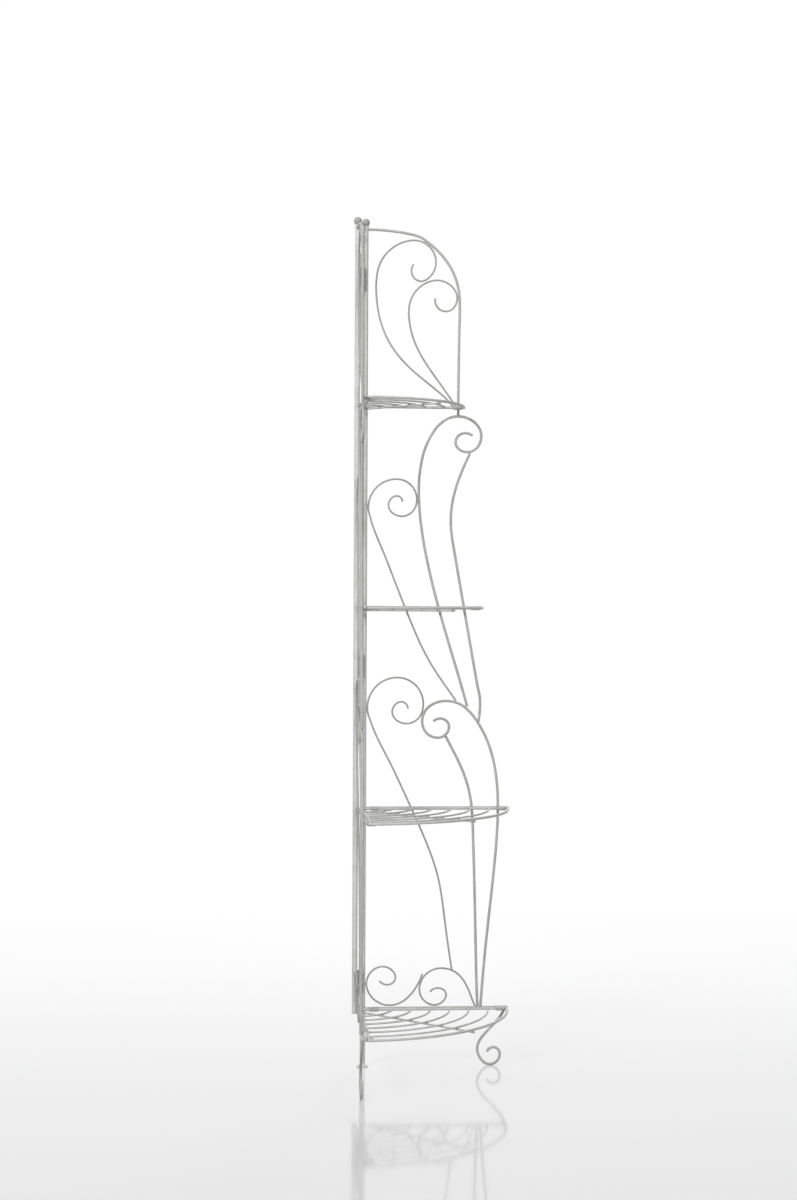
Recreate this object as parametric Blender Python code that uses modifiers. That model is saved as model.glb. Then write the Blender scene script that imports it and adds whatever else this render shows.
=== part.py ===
"""Folding corner shelf unit in painted iron: two scrolled side frames, hinged together at their corner tubes,
and four quarter-round wire shelves that lift on pivot straps.

Metres, +Z up. The right frame stands along +X and the left frame along -Y. The origin is the centre of the
underside of the corner foot. Inside a frame, u runs out from the corner, n points to the inside of the unit
and z is the height; both frames share one drawing, which the left frame mirrors.
"""

from collections import namedtuple
from math import acos, asin, ceil, cos, pi, radians, sin, sqrt

import bmesh
import bpy
import numpy as np
from mathutils import Matrix, Vector

# Overall sizes
UNIT_HEIGHT = 1.600
FIRST_LEVEL = 0.110
TOP_PANEL_HEIGHT = 0.356
SHELF_RADII = (0.288, 0.288, 0.238, 0.202)

# Stock that the frames are made of
TUBE_D = 0.010
TUBE_WALL = 0.001
ROD_D = 0.005
WIRE_D = 0.0035
WELD_GAP = 0.0003
WELD_DEPTH = 0.0008

# Corner tubes, with the distance from each tube's axis to the other frame's plane
TUBE_SETBACK = 0.016
LEFT_TUBE_DROP = 0.006
BALL_D = 0.015
SPIGOT_LENGTH = 0.012
SPIGOT_FIT = 0.0003
FOOT_DISC_D = 0.021
FOOT_DISC_THICKNESS = 0.003

# Shelves
SHELF_INSET = 0.0125
SHELF_WIRE_PITCH = 0.036
SMALLEST_WIRE_RADIUS = 0.055
BAR_CORNER_RADIUS = 0.008
FRONT_BAR_TIP_CLEARANCE = 0.0007
WIRE_RISE = 0.00025
BRACE_OVERHANG = 0.004

# Rails, pivot straps on the right rails and rests on the left rails
RAIL_OVERHANG = 0.003
STRAP_WIDTH = 0.016
STRAP_THICKNESS = 0.001
STRAP_INNER_U = 0.0365
STRAP_PAST_RAIL = 0.002
STRAP_END_SPACE = 0.0015
EYE_CLEARANCE = 0.0003
EYE_LIP_GAP = 0.0005
REST_WIDTH = 0.028
REST_THICKNESS = 0.0015
REST_FROM_FRONT = 0.022
REST_LIP = 0.007
REST_ABOVE_RAIL = 0.0012

# Butt hinges between the tubes
LEAF_HEIGHT = 0.042
LEAF_THICKNESS = 0.0012
LEAF_PAST_TUBE_AXIS = 0.001
PIN_D = 0.003
PIN_CLEARANCE = 0.0002
PIN_HEAD_THICKNESS = 0.001
PIN_HEAD_EDGE = 0.0008
KNUCKLES = 5
KNUCKLE_GAP = 0.0004
TOP_HINGE_BELOW_TOP = 0.116
MIDDLE_HINGE_BELOW_LEVEL = 0.110
BOTTOM_HINGE_ABOVE_LEVEL = 0.052

# How finely round work is divided
TURN_PER_STEP = radians(24)
CURL_SAG = 0.0006
STEM_STEPS = 9
SHORT_STEPS = 4
FRONT_BAR_STEP = radians(5)
WIRE_STEP = radians(8)
CORNER_STEPS = 4
EYE_STEPS = 14
ROD_BEVEL_RESOLUTION = 2
WIRE_BEVEL_RESOLUTION = 1
ROUND_STEPS = 16
BALL_STEPS = 9

# Where the work goes, worked out from the sizes above
level_spacing = (UNIT_HEIGHT - TOP_PANEL_HEIGHT - FIRST_LEVEL) / (len(SHELF_RADII) - 1)
levels = [FIRST_LEVEL + level_spacing * i for i in range(len(SHELF_RADII))]
tube_r = TUBE_D / 2
bore_r = tube_r - TUBE_WALL
rod_r = ROD_D / 2
wire_r = WIRE_D / 2
tube_face = TUBE_SETBACK + tube_r
rail_n = ROD_D + WELD_GAP
wire_n = rod_r - wire_r
rail_rise = EYE_CLEARANCE + WELD_DEPTH
ball_r = BALL_D / 2
ball_seat = sqrt(ball_r**2 - tube_r**2)
tube_top = UNIT_HEIGHT - ball_r - ball_seat - WELD_GAP
heights = (*levels, tube_top)
BOTTOM, LOWER, UPPER, TOP, CROWN = range(len(heights))
knuckle_r = PIN_D / 2 + PIN_CLEARANCE + LEAF_THICKNESS
pin_axis = tube_r + WELD_GAP + knuckle_r
hinge_heights = (
    levels[BOTTOM] + BOTTOM_HINGE_ABOVE_LEVEL,
    levels[UPPER] - MIDDLE_HINGE_BELOW_LEVEL,
    UNIT_HEIGHT - TOP_HINGE_BELOW_TOP,
)

# A scroll is bent from its curled tip outwards: arcs of the given radii that share the whole turn equally,
# then a sweeping stem to its foot. Angles are degrees in the drawing, and handles are the shares of the stem's
# span over which it keeps the direction of each end. tip and foot are (u, height over the named level), where
# CROWN is the top of the tube.
Scroll = namedtuple("Scroll", "level tip heading turn radii foot foot_heading handles")

BOTTOM_INNER = Scroll(
    level=BOTTOM, tip=(0.0470, 0.0524), heading=-56.4, turn=347.8, radii=(0.0178, 0.0135, 0.0262, 0.0331),
    foot=(0.1285, 0.0645), foot_heading=69.7, handles=(0.349, 0.799),
)
BOTTOM_OUTER = Scroll(
    level=BOTTOM, tip=(0.1443, 0.0305), heading=50.4, turn=-408.6,
    radii=(0.0193, 0.0121, 0.0232, 0.0303, 0.0404),
    foot=(0.2296, 0.0029), foot_heading=-58.8, handles=(0.505, 0.220),
)
LOWER_SMALL = Scroll(
    level=LOWER, tip=(0.0981, 0.1877), heading=89, turn=566.5, radii=(0.0128, 0.0192, 0.0304, 0.0496, 0.0565),
    foot=(0.1833, 0.0), foot_heading=-80.7, handles=(0.756, 0.444),
)
LOWER_BIG = Scroll(
    level=LOWER, tip=(0.1468, 0.1635), heading=46.4, turn=-455.1,
    radii=(0.0181, 0.0157, 0.0219, 0.0295, 0.0362, 0.0576),
    foot=(0.2396, 0.0), foot_heading=-93.6, handles=(0.261, 0.501),
)
UPPER_SMALL = Scroll(
    level=UPPER, tip=(0.0845, 0.2005), heading=87.6, turn=563.7,
    radii=(0.0107, 0.0179, 0.0277, 0.0381, 0.0533),
    foot=(0.1891, 0.0), foot_heading=-54.5, handles=(0.750, 0.306),
)
UPPER_BIG = Scroll(
    level=TOP, tip=(0.2199, -0.0514), heading=138.7, turn=445.8,
    radii=(0.0200, 0.0162, 0.0247, 0.0326, 0.0483),
    foot=(0.2085, 0.0), foot_heading=-75, handles=(0.266, 0.275),
)
TOP_LARGE = Scroll(
    level=CROWN, tip=(0.1087, -0.0710), heading=-126.5, turn=392.3,
    radii=(0.0207, 0.0173, 0.0394, 0.0414, 0.0751),
    foot=(0.1836, 0.0), foot_heading=-54.2, handles=(0.567, 0.248),
)
TOP_SMALL = Scroll(
    level=CROWN, tip=(0.1468, -0.1352), heading=-98.9, turn=367.9,
    radii=(0.0211, 0.0195, 0.0280, 0.0397, 0.0586),
    foot=(0.1882, 0.0), foot_heading=-57.3, handles=(0.366, 0.388),
)
SCROLL_FOOT = Scroll(
    level=BOTTOM, tip=(0.2526, -0.0874), heading=70.9, turn=-300, radii=(0.0125, 0.0123, 0.0185, 0.0189),
    foot=(0.2869, 0.0), foot_heading=73.9, handles=(0.483, 0.377),
)

# The plain rods run through stations: a place as (u, height over a level), the heading there in degrees, and
# the shares of the span before and after it over which the rod keeps that heading.
Station = namedtuple("Station", "u rise heading before after")

MIDDLE_ROD_START = Station(0.0253, -0.0306, -63, 0, 0.310)
MIDDLE_ROD_SHOULDER = Station(0.2227, -0.0181, -87.5, 0.445, 0.457)
MIDDLE_ROD_FOOT = Station(0.0, 0.0, -86.1, 0.169, 0)
MIDDLE_ROD_SPARE = 0.0002
OUTER_ROD_START = Station(-0.0057, -0.0328, -114.9, 0, 0.360)
OUTER_ROD_WAIST = Station(0.1826, 0.1277, -80.2, 0.392, 0.191)
OUTER_ROD_KNEE = Station(0.2364, 0.2022, -79.8, 0.356, 0.061)
OUTER_ROD_FOOT = Station(0.2333, 0.1647, -105.6, 0.229, 0)
ARCH_START_BELOW_TUBE_TOP = 0.007
ARCH_START = Station(0.0, 0.0, 2.3, 0, 0.233)
ARCH_HAUNCH = Station(0.1228, -0.0216, -33.7, 0.172, 0.288)
ARCH_SHOULDER = Station(0.1944, -0.1465, -90.6, 0.454, 0.308)
ARCH_FOOT = Station(0.0, 0.0, -89.5, 0.283, 0)
ARCH_FROM_SHELF_FRONT = 0.0095


def direction(angle):
    return np.array([cos(angle), sin(angle)])


def sweep(start, start_angle, end, end_angle, handles, steps=STEM_STEPS):
    """A smooth stretch that leaves and reaches its end points at the given angles, without its first point."""
    start, end = np.array(start), np.array(end)
    span = np.linalg.norm(end - start)
    a = start + direction(start_angle) * handles[0] * span
    b = end - direction(end_angle) * handles[1] * span
    points = []
    for i in range(1, steps + 1):
        t = i / steps
        points.append((1 - t) ** 3 * start + 3 * (1 - t) ** 2 * t * a + 3 * (1 - t) * t * t * b + t**3 * end)
    return points


def placed(station, level):
    """A station's place in the drawing."""
    return np.array([station.u, heights[level] + station.rise])


def through(places, stations, steps):
    """A rod's centre line through its stations, with the number of steps of each stretch."""
    points = [places[0]]
    for i, count in enumerate(steps):
        here, following = stations[i], stations[i + 1]
        points += sweep(
            places[i], radians(here.heading), places[i + 1], radians(following.heading),
            (here.after, following.before), count,
        )
    return points


def curl(scroll, shift=0.0):
    """The arcs of a scroll from its tip outwards, and the heading that they end with."""
    point = np.array([scroll.tip[0] + shift, heights[scroll.level] + scroll.tip[1]])
    angle = radians(scroll.heading)
    side = 1 if scroll.turn > 0 else -1
    arc = radians(abs(scroll.turn)) / len(scroll.radii)
    points = [point]
    for radius in scroll.radii:
        steps = ceil(arc / min(TURN_PER_STEP, sqrt(8 * CURL_SAG / radius)))
        centre = point + side * radius * direction(angle + pi / 2)
        for i in range(1, steps + 1):
            points.append(centre - side * radius * direction(angle + side * arc * i / steps + pi / 2))
        angle += side * arc
        point = points[-1]
    return points, angle


def whole_scroll(scroll, shift, foot):
    """All of a scroll's centre line, from its tip to the place of its foot."""
    points, angle = curl(scroll, shift)
    return points + sweep(points[-1], angle, foot, radians(scroll.foot_heading), scroll.handles)


def distance(line, other):
    """The least distance from the points of one centre line to the other line."""
    points = np.array(line)
    start = np.array(other[:-1])
    along = np.array(other[1:]) - start
    t = ((points[:, None] - start) * along).sum(2) / (along * along).sum(1)
    near = start + np.clip(t, 0, 1)[..., None] * along
    return np.linalg.norm(points[:, None] - near, axis=2).min()


def slid_to_touch(make, others, away):
    """The shift, the way of away, that lays make(shift) beside the other lines, given with how far apart."""
    near, far = -0.02 * away, 0.03 * away
    for _ in range(30):
        middle = (near + far) / 2
        line = make(middle)
        if any(min(distance(line, other), distance(other, line)) < apart for other, apart in others):
            near = middle
        else:
            far = middle
    return far


def crossing(line, u, last=False):
    """Where a line first or last crosses the given u: the place there and the line's direction."""
    order = range(len(line) - 1, 0, -1) if last else range(1, len(line))
    for i in order:
        a, b = np.array(line[i - 1]), np.array(line[i])
        if (a[0] - u) * (b[0] - u) <= 0 and a[0] != b[0]:
            return a + (b - a) * (u - a[0]) / (b[0] - a[0]), (b - a) / np.linalg.norm(b - a)
    raise ValueError("the line does not reach that far out")


def nearest(line, place):
    """The place on a line that lies nearest to the given one, and the line's direction there."""
    a = np.array(line[:-1])
    along = np.array(line[1:]) - a
    t = np.clip(((place - a) * along).sum(1) / (along * along).sum(1), 0, 1)
    points = a + t[:, None] * along
    i = int(np.argmin(np.linalg.norm(points - place, axis=1)))
    return points[i], along[i] / np.linalg.norm(along[i])


def landing(found, heading, line_r, end_r):
    """Where a rod with this heading stops on another: beside the found place, clear of its side."""
    place, along = found
    normal = np.array([-along[1], along[0]])
    inwards = direction(radians(heading))
    if normal @ inwards > 0:
        normal = -normal
    slant = sqrt(max(0.0, 1 - (normal @ inwards) ** 2))
    return place + normal * (line_r + WELD_GAP + end_r * slant)


def touching_tube(scroll, radius):
    """The shift that lays a scroll's widest turn against the corner tube."""
    points, _ = curl(scroll)
    return tube_face + WELD_GAP + radius - min(p[0] for p in points)


def frame_drawing():
    """Centre lines of one frame's scrollwork as {name: (points, radius)}, drawn in (u, z)."""
    lines = {}
    wires_apart = WIRE_D + WELD_GAP
    rods_apart = ROD_D + WELD_GAP
    mixed_apart = wire_r + rod_r + WELD_GAP
    bottom_rail = levels[BOTTOM] + rail_rise
    big_foot = np.array([LOWER_BIG.foot[0], bottom_rail])
    middle_foot = big_foot - np.array([rods_apart + MIDDLE_ROD_SPARE, 0])

    # The bottom panel's pair: the inner one leans on the tube, and the outer one on the inner one's stem and,
    # with its foot, on the middle rod.
    shift = touching_tube(BOTTOM_INNER, wire_r)
    foot = (BOTTOM_INNER.foot[0] + shift, levels[BOTTOM] + BOTTOM_INNER.foot[1])
    inner = whole_scroll(BOTTOM_INNER, shift, foot)
    shift = slid_to_touch(lambda s: curl(BOTTOM_OUTER, s)[0], [(inner, wires_apart)], 1)
    outer = whole_scroll(
        BOTTOM_OUTER, shift, (middle_foot[0] - mixed_apart, levels[BOTTOM] + BOTTOM_OUTER.foot[1])
    )
    lines["bottom_inner_scroll"] = (inner, wire_r)
    lines["bottom_outer_scroll"] = (outer, wire_r)

    # The lower pair: the small scroll leans on the tube and stands on the bottom panel's outer scroll.
    shift = touching_tube(LOWER_SMALL, wire_r)
    top_of_outer = crossing(outer, LOWER_SMALL.foot[0], last=True)
    small = whole_scroll(LOWER_SMALL, shift, landing(top_of_outer, LOWER_SMALL.foot_heading, wire_r, wire_r))
    lines["lower_small_scroll"] = (small, wire_r)
    small_curl = curl(LOWER_SMALL, shift)[0]
    shift = slid_to_touch(lambda s: curl(LOWER_BIG, s)[0], [(small_curl, mixed_apart)], 1)
    big = whole_scroll(LOWER_BIG, shift, big_foot)
    lines["lower_big_scroll"] = (big, rod_r)

    # The middle rod hangs from the underside of the big scroll's curl and ends on the bottom rail.
    big_curl = curl(LOWER_BIG, shift)[0]
    under = nearest(big_curl, big_curl[0] + np.array([MIDDLE_ROD_START.u, MIDDLE_ROD_START.rise]))
    places = [
        landing(under, MIDDLE_ROD_START.heading + 180, rod_r, rod_r),
        placed(MIDDLE_ROD_SHOULDER, LOWER),
        middle_foot,
    ]
    stations = (MIDDLE_ROD_START, MIDDLE_ROD_SHOULDER, MIDDLE_ROD_FOOT)
    lines["lower_middle_rod"] = (through(places, stations, (STEM_STEPS, STEM_STEPS)), rod_r)

    # The upper pair stands on the crown of the lower big scroll.
    shift = touching_tube(UPPER_SMALL, wire_r)
    foot = landing(crossing(big, UPPER_SMALL.foot[0], last=True), UPPER_SMALL.foot_heading, rod_r, wire_r)
    small = whole_scroll(UPPER_SMALL, shift, foot)
    lines["upper_small_scroll"] = (small, wire_r)
    small_curl = curl(UPPER_SMALL, shift)[0]
    foot = landing(crossing(big, UPPER_BIG.foot[0], last=True), UPPER_BIG.foot_heading, rod_r, rod_r)
    shift = slid_to_touch(lambda s: whole_scroll(UPPER_BIG, s, foot), [(small_curl, mixed_apart)], 1)
    upper = whole_scroll(UPPER_BIG, shift, foot)
    lines["upper_big_scroll"] = (upper, rod_r)

    # The outer rod hangs from the upper big scroll's curl, waists in and ends on the lower big scroll.
    upper_curl = curl(UPPER_BIG, shift)[0]
    under = nearest(upper_curl, upper_curl[0] + np.array([OUTER_ROD_START.u, OUTER_ROD_START.rise]))
    places = [
        landing(under, OUTER_ROD_START.heading + 180, rod_r, rod_r),
        placed(OUTER_ROD_WAIST, UPPER),
        placed(OUTER_ROD_KNEE, LOWER),
        landing(nearest(big, placed(OUTER_ROD_FOOT, LOWER)), OUTER_ROD_FOOT.heading, rod_r, rod_r),
    ]
    stations = (OUTER_ROD_START, OUTER_ROD_WAIST, OUTER_ROD_KNEE, OUTER_ROD_FOOT)
    lines["upper_outer_rod"] = (through(places, stations, (STEM_STEPS, STEM_STEPS, SHORT_STEPS)), rod_r)

    # The arch rod runs from the tube's top over the top panel, down to the crown of the upper big scroll.
    foot_u = SHELF_RADII[TOP] - ARCH_FROM_SHELF_FRONT
    crown = crossing(upper_curl, foot_u, last=True)
    places = [
        np.array([tube_face + WELD_GAP, tube_top - ARCH_START_BELOW_TUBE_TOP]),
        placed(ARCH_HAUNCH, CROWN),
        placed(ARCH_SHOULDER, CROWN),
        landing(crown, ARCH_FOOT.heading, rod_r, rod_r),
    ]
    stations = (ARCH_START, ARCH_HAUNCH, ARCH_SHOULDER, ARCH_FOOT)
    arch = through(places, stations, (STEM_STEPS, STEM_STEPS, SHORT_STEPS))
    lines["arch_rod"] = (arch, rod_r)

    # The top panel's pair nests under the arch, and both stems run to the rail beside the arch rod.
    rail = levels[TOP] + rail_rise
    shift = slid_to_touch(lambda s: curl(TOP_SMALL, s)[0], [(arch, mixed_apart)], -1)
    small = whole_scroll(TOP_SMALL, shift, (places[-1][0] - mixed_apart, rail + wire_r))
    small_curl = curl(TOP_SMALL, shift)[0]
    shift = slid_to_touch(
        lambda s: curl(TOP_LARGE, s)[0], [(arch, mixed_apart), (small_curl, wires_apart)], -1
    )
    large = whole_scroll(TOP_LARGE, shift, (places[-1][0] - mixed_apart - wires_apart, rail))
    lines["top_large_scroll"] = (large, wire_r)
    lines["top_small_scroll"] = (small, wire_r)

    # The scroll foot touches the floor with its turn and rises beside the front end of the bottom rail.
    lift = rod_r - min(p[1] for p in curl(SCROLL_FOOT)[0])
    lifted = SCROLL_FOOT._replace(tip=(SCROLL_FOOT.tip[0], SCROLL_FOOT.tip[1] + lift))
    lines["scroll_foot"] = (whole_scroll(lifted, 0, (SCROLL_FOOT.foot[0], bottom_rail)), rod_r)
    return lines


def spot(frame, u, n, z):
    """A place in a frame's drawing as a point of the unit."""
    if frame == "right":
        return Vector((u - TUBE_SETBACK, -n, z))
    return Vector((n - TUBE_SETBACK, -u, z))


def paint(name, shade, roughness):
    """A painted metal finish of its own."""
    material = bpy.data.materials.new(name)
    material.use_nodes = True
    shader = material.node_tree.nodes["Principled BSDF"]
    shader.inputs["Base Color"].default_value = (*shade, 1)
    shader.inputs["Roughness"].default_value = roughness
    shader.inputs["Metallic"].default_value = 0
    return material


def fix(obj, name, material, pivot):
    """Names and paints a finished piece and hangs it on its body's pivot, where it stands."""
    obj.name = name
    obj.data.name = name
    obj.data.materials.clear()
    obj.data.materials.append(material)
    for collection in list(obj.users_collection):
        collection.objects.unlink(obj)
    parts.objects.link(obj)
    obj.parent = pivot
    obj.matrix_parent_inverse = Matrix.Translation(-pivot.location)
    return obj


def rod_along(points, radius, closed=False):
    """A round rod bent along the given points, with flat ends."""
    curve = bpy.data.curves.new("rod", "CURVE")
    curve.dimensions = "3D"
    curve.bevel_depth = radius
    curve.bevel_resolution = ROD_BEVEL_RESOLUTION if radius > wire_r else WIRE_BEVEL_RESOLUTION
    curve.use_fill_caps = True
    spline = curve.splines.new("POLY")
    spline.points.add(len(points) - 1)
    for target, point in zip(spline.points, points):
        target.co = (*point, 1)
    obj = bpy.data.objects.new("rod", curve)
    helpers.objects.link(obj)
    return obj


def as_mesh(obj):
    """A curve turned into a mesh object in its place, with its caps welded on."""
    bpy.context.view_layer.update()
    graph = bpy.context.evaluated_depsgraph_get()
    mesh = bpy.data.meshes.new_from_object(obj.evaluated_get(graph))
    work = bmesh.new()
    work.from_mesh(mesh)
    bmesh.ops.remove_doubles(work, verts=work.verts, dist=1e-6)
    bmesh.ops.recalc_face_normals(work, faces=work.faces)
    if work.calc_volume(signed=True) < 0:
        bmesh.ops.reverse_faces(work, faces=work.faces)
    work.to_mesh(mesh)
    work.free()
    made = bpy.data.objects.new("mesh", mesh)
    made.matrix_world = obj.matrix_world
    helpers.objects.link(made)
    bpy.data.objects.remove(obj)
    return made


def combined(base, others, operation):
    """The base with the others joined to it or cut from it, as one mesh."""
    for other in others:
        modifier = base.modifiers.new(operation.lower(), "BOOLEAN")
        modifier.operation = operation
        modifier.solver = "EXACT"
        modifier.object = other
    made = as_mesh(base)
    for other in others:
        bpy.data.objects.remove(other)
    made.data.shade_smooth()
    made.data.set_sharp_from_angle(angle=radians(40))
    return made


def box(size, centre):
    """A box cutter."""
    mesh = bpy.data.meshes.new("box")
    work = bmesh.new()
    bmesh.ops.create_cube(work, size=1)
    bmesh.ops.scale(work, vec=size, verts=work.verts)
    work.to_mesh(mesh)
    work.free()
    obj = bpy.data.objects.new("box", mesh)
    obj.location = centre
    obj.display_type = "WIRE"
    helpers.objects.link(obj)
    return obj


def strip(line, width, thickness):
    """Sheet metal bent along the middle line of its drawing, as wide as it is tall there."""
    curve = bpy.data.curves.new("strip", "CURVE")
    curve.dimensions = "2D"
    curve.fill_mode = "NONE"
    curve.extrude = width / 2
    spline = curve.splines.new("POLY")
    spline.points.add(len(line) - 1)
    for target, point in zip(spline.points, line):
        target.co = (*point, 0, 1)
    obj = bpy.data.objects.new("strip", curve)
    helpers.objects.link(obj)
    sheet = as_mesh(obj)
    wall = sheet.modifiers.new("wall", "SOLIDIFY")
    wall.thickness = thickness
    wall.offset = 0
    wall.use_even_offset = True
    return as_mesh(sheet)


def turned(profile):
    """A piece turned from a profile of (radius, height), which runs down its outer side."""
    mesh = bpy.data.meshes.new("turned")
    work = bmesh.new()
    verts = [work.verts.new((r, 0, z)) for r, z in profile]
    for a, b in zip(verts, verts[1:]):
        work.edges.new((a, b))
    work.to_mesh(mesh)
    work.free()
    obj = bpy.data.objects.new("turned", mesh)
    helpers.objects.link(obj)
    screw = obj.modifiers.new("turn", "SCREW")
    screw.steps = screw.render_steps = ROUND_STEPS
    screw.use_merge_vertices = True
    screw.merge_threshold = 0.00001
    made = as_mesh(obj)
    made.data.shade_smooth()
    made.data.set_sharp_from_angle(angle=radians(40))
    return made


def rolled_eye(bore, thickness, tail_end):
    """A strip's middle line, rolled round a bar at the origin: its tail comes along -X at the top, its free
    end stops short of the tail."""
    middle = bore + thickness / 2
    opening = acos((bore - EYE_LIP_GAP) / (bore + thickness))
    turns = [pi / 2 - (2 * pi - opening) * i / EYE_STEPS for i in range(EYE_STEPS + 1)]
    return [(-tail_end, middle)] + [(middle * cos(a), middle * sin(a)) for a in turns]


def side_plate(frame, line, width, thickness, u, n, z):
    """A strip that is drawn in (n, z), set across a frame at u."""
    plate = strip(line, width, thickness)
    along_n = spot(frame, 0, 1, 0) - spot(frame, 0, 0, 0)
    along_z = Vector((0, 0, 1))
    turn = Matrix((along_n, along_z, along_n.cross(along_z))).transposed()
    plate.matrix_world = Matrix.Translation(spot(frame, u, n, z)) @ turn.to_4x4()
    return plate


def corner_tube(frame, bottom):
    """An open-ended pipe from the given height to under the ball."""
    mesh = bpy.data.meshes.new("tube")
    work = bmesh.new()
    bmesh.ops.create_cone(
        work, cap_ends=False, segments=ROUND_STEPS, radius1=tube_r, radius2=tube_r, depth=tube_top - bottom
    )
    work.to_mesh(mesh)
    work.free()
    mesh.shade_smooth()
    obj = bpy.data.objects.new("tube", mesh)
    obj.location = spot(frame, TUBE_SETBACK, 0, (tube_top + bottom) / 2)
    wall = obj.modifiers.new("wall", "SOLIDIFY")
    wall.thickness = TUBE_WALL
    wall.offset = -1
    return obj


def ball_finial(frame):
    """A ball that sits on the tube's rim with its spigot in the bore."""
    seat_angle = asin(ball_seat / ball_r)
    profile = []
    for i in range(BALL_STEPS + 1):
        a = pi / 2 - (pi / 2 + seat_angle) * i / BALL_STEPS
        profile.append((ball_r * cos(a) if i else 0, ball_r * sin(a)))
    spigot_r = bore_r - SPIGOT_FIT
    profile.append((spigot_r, -ball_seat))
    profile.append((spigot_r, -ball_seat - SPIGOT_LENGTH))
    profile.append((0, -ball_seat - SPIGOT_LENGTH))
    obj = turned(profile)
    obj.location = spot(frame, TUBE_SETBACK, 0, UNIT_HEIGHT - ball_r)
    return obj


def foot_disc():
    """A flat round foot with a spigot up into the right tube."""
    spigot_r = bore_r - SPIGOT_FIT
    profile = [
        (0, FOOT_DISC_THICKNESS + SPIGOT_LENGTH),
        (spigot_r, FOOT_DISC_THICKNESS + SPIGOT_LENGTH),
        (spigot_r, FOOT_DISC_THICKNESS),
        (FOOT_DISC_D / 2, FOOT_DISC_THICKNESS),
        (FOOT_DISC_D / 2, 0),
        (0, 0),
    ]
    return turned(profile)


def rail(frame, level, radius):
    """A straight rail across the scrollwork, from the tube to past the shelf's front bar."""
    beside_tube = sqrt((tube_r + WELD_GAP) ** 2 - max(0.0, rail_n - rod_r) ** 2)
    ends = (TUBE_SETBACK + beside_tube, radius + RAIL_OVERHANG)
    return rod_along([spot(frame, u, rail_n, level + rail_rise) for u in ends], rod_r)


def right_rail(level, radius):
    """A rail with its two pivot straps welded on top, whose eyes hold the shelf's back bar."""
    line = rolled_eye(rod_r + EYE_CLEARANCE, STRAP_THICKNESS, SHELF_INSET - rail_n + STRAP_PAST_RAIL)
    front_bar_u = sqrt(radius**2 - SHELF_INSET**2)
    outer_u = front_bar_u - rod_r - STRAP_END_SPACE - STRAP_WIDTH / 2
    straps = [
        side_plate("right", line, STRAP_WIDTH, STRAP_THICKNESS, u, SHELF_INSET, level)
        for u in (STRAP_INNER_U, outer_u)
    ]
    return combined(as_mesh(rail("right", level, radius)), straps, "UNION")


def left_rail(level, radius):
    """A rail with an angle bracket welded to its inner side, on which the shelf's side bar rests."""
    shelf_side = -rod_r - WELD_GAP - REST_THICKNESS / 2
    rail_side = rail_n + rod_r - WELD_DEPTH + REST_THICKNESS / 2
    line = [
        (rail_side, rail_rise + REST_ABOVE_RAIL),
        (rail_side, shelf_side),
        (SHELF_INSET + rod_r + REST_LIP, shelf_side),
    ]
    rest = side_plate("left", line, REST_WIDTH, REST_THICKNESS, radius - REST_FROM_FRONT, 0, level)
    return combined(as_mesh(rail("left", level, radius)), [rest], "UNION")


def shelf_point(radius, angle, z):
    """A point at a radius from the corner where the frames' planes meet; angle 0 is along the right frame."""
    return spot("right", radius * cos(angle), radius * sin(angle), z)


def bent_round(radius, z, start, end, rod_radius, step):
    """A rod on an arc about the corner, between two angles, bent a little at each step."""
    steps = ceil((end - start) / step)
    return rod_along(
        [shelf_point(radius, start + (end - start) * i / steps, z) for i in range(steps + 1)], rod_radius
    )


def shelf_grid(level, radius):
    """The side bars, one rod bent round the corner, with the inner wires welded between them."""
    front_inside = radius * cos(FRONT_BAR_STEP / 2) - rod_r
    bar_end = sqrt((front_inside - WELD_GAP) ** 2 - (SHELF_INSET + rod_r) ** 2)
    bend = SHELF_INSET + BAR_CORNER_RADIUS
    corner = []
    for i in range(CORNER_STEPS + 1):
        a = pi / 2 * i / CORNER_STEPS
        corner.append((bend - BAR_CORNER_RADIUS * sin(a), bend - BAR_CORNER_RADIUS * cos(a)))
    path = [(bar_end, SHELF_INSET), *corner, (SHELF_INSET, bar_end)]
    bars = as_mesh(rod_along([spot("right", u, n, level) for u, n in path], rod_r))
    wires = []
    for i in range(int((radius - SMALLEST_WIRE_RADIUS) / SHELF_WIRE_PITCH)):
        wire_radius = radius - SHELF_WIRE_PITCH * (i + 1)
        end = asin(SHELF_INSET / wire_radius)
        height = level - rod_r + wire_r + WIRE_RISE
        wires.append(as_mesh(bent_round(wire_radius, height, end, pi / 2 - end, wire_r, WIRE_STEP)))
    return combined(bars, wires, "UNION")


def front_bar(level, radius):
    """The round front bar: it covers the back bar's end and runs on past the left bar, nearly to the rail."""
    start = asin((SHELF_INSET - rod_r) / radius)
    end = acos((rail_n + rod_r + FRONT_BAR_TIP_CLEARANCE) / radius)
    return bent_round(radius, level, start, end, rod_r, FRONT_BAR_STEP)


def brace(level, radius):
    """The diagonal brace under the bars and wires, from the bars' corner to just past the front bar."""
    corner = (SHELF_INSET + BAR_CORNER_RADIUS) * sqrt(2) - BAR_CORNER_RADIUS
    height = level - rod_r - WELD_GAP - wire_r
    ends = (corner - rod_r, radius + BRACE_OVERHANG)
    return rod_along([shelf_point(r, pi / 4, height) for r in ends], wire_r)


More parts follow.
